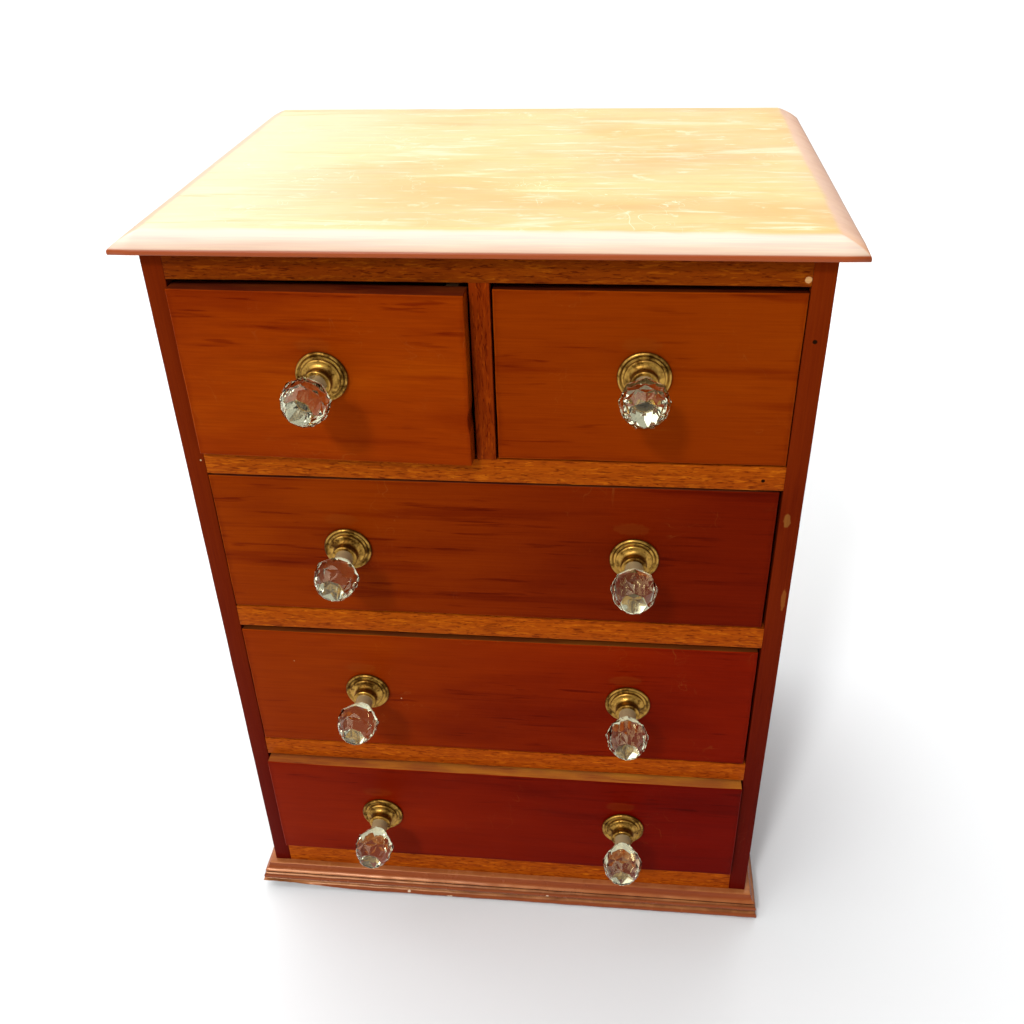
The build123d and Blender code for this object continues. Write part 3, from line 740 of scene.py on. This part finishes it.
softened("left_side", side_wood, seed=1.0, slices=((Z, 0.02),))
softened("right_side", side_wood, seed=2.0, slices=((Z, 0.02),))
softened("top_board", top_wood, width=0.7 * MM, seed=3.0, slices=((X, 0.012), (Y, 0.02)),
         reshape=worn_corners)
softened("centre_divider", divider_wood, seed=4.0, slices=((Z, 0.02),))
for number, rail in enumerate(("base_rail", "lower_rail", "middle_rail", "upper_rail")):
    softened(rail, rail_wood, seed=5.0 + number, slices=((X, 0.02),))
softened("top_rail", shaded_top_rail_wood, seed=9.0, slices=((X, 0.02),))
base_moulding("base_moulding_front", front_path, mould_wood, 1.0)
base_moulding("base_moulding_left", end_path(-1), mould_wood, 2.0)
base_moulding("base_moulding_right", end_path(1), mould_wood, 3.0)

KEPT = {
    "back_panel": pine_woods[Z], "bottom_board": pine_woods[X], "side_runners": pine_woods[Y],
    "centre_runner": pine_woods[Y], "centre_guide": pine_woods[Y], "top_kickers": pine_woods[Y],
    "back_nails": steel, "top_screws": steel,
}
for number, (drawer, (left, right, ledge_light_and_shade)) in enumerate(DRAWER_TONES_AND_SHADE.items()):
    low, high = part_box(drawer + "_front")
    knob_low, knob_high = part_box(drawer + "_knobs")
    knob_xs = sorted({round(knob_low.x + HEAD_RADIUS, 3), round(knob_high.x - HEAD_RADIUS, 3)})
    base_of = front_colour(left, right, ledge_light_and_shade, low, high, knob_xs)
    front_wood = polished(drawer + "_wood", base_of, X, 11.0 + 1.37 * number)
    softened(drawer + "_front", front_wood, width=0.3 * MM, wear=0.22 * MM, seed=12.0 + number,
             slices=((X, 0.02), (Z, 0.0045)), reshape=chipped if number == 0 else None)
    for board, grain in (("left_side", Y), ("right_side", Y), ("back", X)):
        softened(f"{drawer}_{board}", pine_woods[grain], width=0.5 * MM, seed=20.0 + number,
                 slices=((grain, 0.03),))
    KEPT[drawer + "_bottom"] = pine_woods[X]
    KEPT[drawer + "_roses"] = brass(drawer + "_brass", number + 1.0)
    cut_knobs(drawer + "_knobs", glass)
    KEPT[drawer + "_knob_bolts"] = steel
for node_name, material in KEPT.items():
    frame["nodes"][node_name].data.materials.append(material)

# ---------------------------------------------------------------- camera, light and floor

CAMERA_PLACE = Vector((0.0675, -0.5724, 0.6318))
CAMERA_AZIMUTH = radians(6.71)
CAMERA_DROP = radians(33.23)
CAMERA_ROLL = radians(1.76)


def add_camera():
    camera = bpy.data.cameras.new("camera")
    camera.sensor_width = 36.0
    camera.lens = 36.57
    camera.clip_start = 0.01
    view = bpy.data.objects.new("camera", camera)
    turn = Matrix.Rotation(CAMERA_AZIMUTH, 4, "Z") @ Matrix.Rotation(pi / 2 - CAMERA_DROP, 4, "X")
    view.matrix_world = Matrix.Translation(CAMERA_PLACE) @ turn @ Matrix.Rotation(-CAMERA_ROLL, 4, "Z")
    bpy.context.scene.collection.objects.link(view)
    bpy.context.scene.camera = view


def sun(name, towards, angle, strength):
    """A lamp far away, angle wide: the wider, the softer its shadows."""
    lamp = bpy.data.lights.new(name, "SUN")
    lamp.angle = radians(angle)
    lamp.energy = strength
    thing = bpy.data.objects.new(name, lamp)
    thing.matrix_world = Vector(towards).to_track_quat("-Z", "Y").to_matrix().to_4x4()
    bpy.context.scene.collection.objects.link(thing)


def soft_light(name, place, aim, size, power):
    lamp = bpy.data.lights.new(name, "AREA")
    lamp.shape = "RECTANGLE"
    lamp.size, lamp.size_y = size
    lamp.energy = power
    thing = bpy.data.objects.new(name, lamp)
    direction = Vector(aim) - Vector(place)
    thing.matrix_world = Matrix.Translation(place) @ direction.to_track_quat("-Z", "Y").to_matrix().to_4x4()
    bpy.context.scene.collection.objects.link(thing)


def add_floor():
    work = bmesh.new()
    bmesh.ops.create_grid(work, x_segments=1, y_segments=1, size=12.0)
    floor = piece_from("floor", work, smooth=False)
    floor.location.z = -0.2 * MM
    material, tree, shader = new_material("floor")
    shader.inputs["Base Color"].default_value = colour(0.710, 0.718, 0.722)
    shader.inputs["Roughness"].default_value = 0.9
    shader.inputs["Specular IOR Level"].default_value = 0.1
    floor.data.materials.append(material)


def add_world():
    world = bpy.data.worlds.new("world")
    world.use_nodes = True
    background = world.node_tree.nodes["Background"]
    background.inputs["Color"].default_value = colour(1.0, 1.0, 1.0)
    background.inputs["Strength"].default_value = 0.38
    bpy.context.scene.world = world


add_camera()
add_world()
add_floor()
sun("key_crisp", (0.5, 1.3, -1.3), 7.0, 1.35)
sun("key_soft", (0.9, 1.3, -1.25), 50.0, 1.05)
sun("from_back_left", (0.55, -0.45, -1.0), 80.0, 2.75)
soft_light("behind_top", (0.0, 1.3, 1.1), (0, 0, 0.45), (2.4, 1.0), 9.0)
bpy.context.scene.view_settings.view_transform = "Standard"
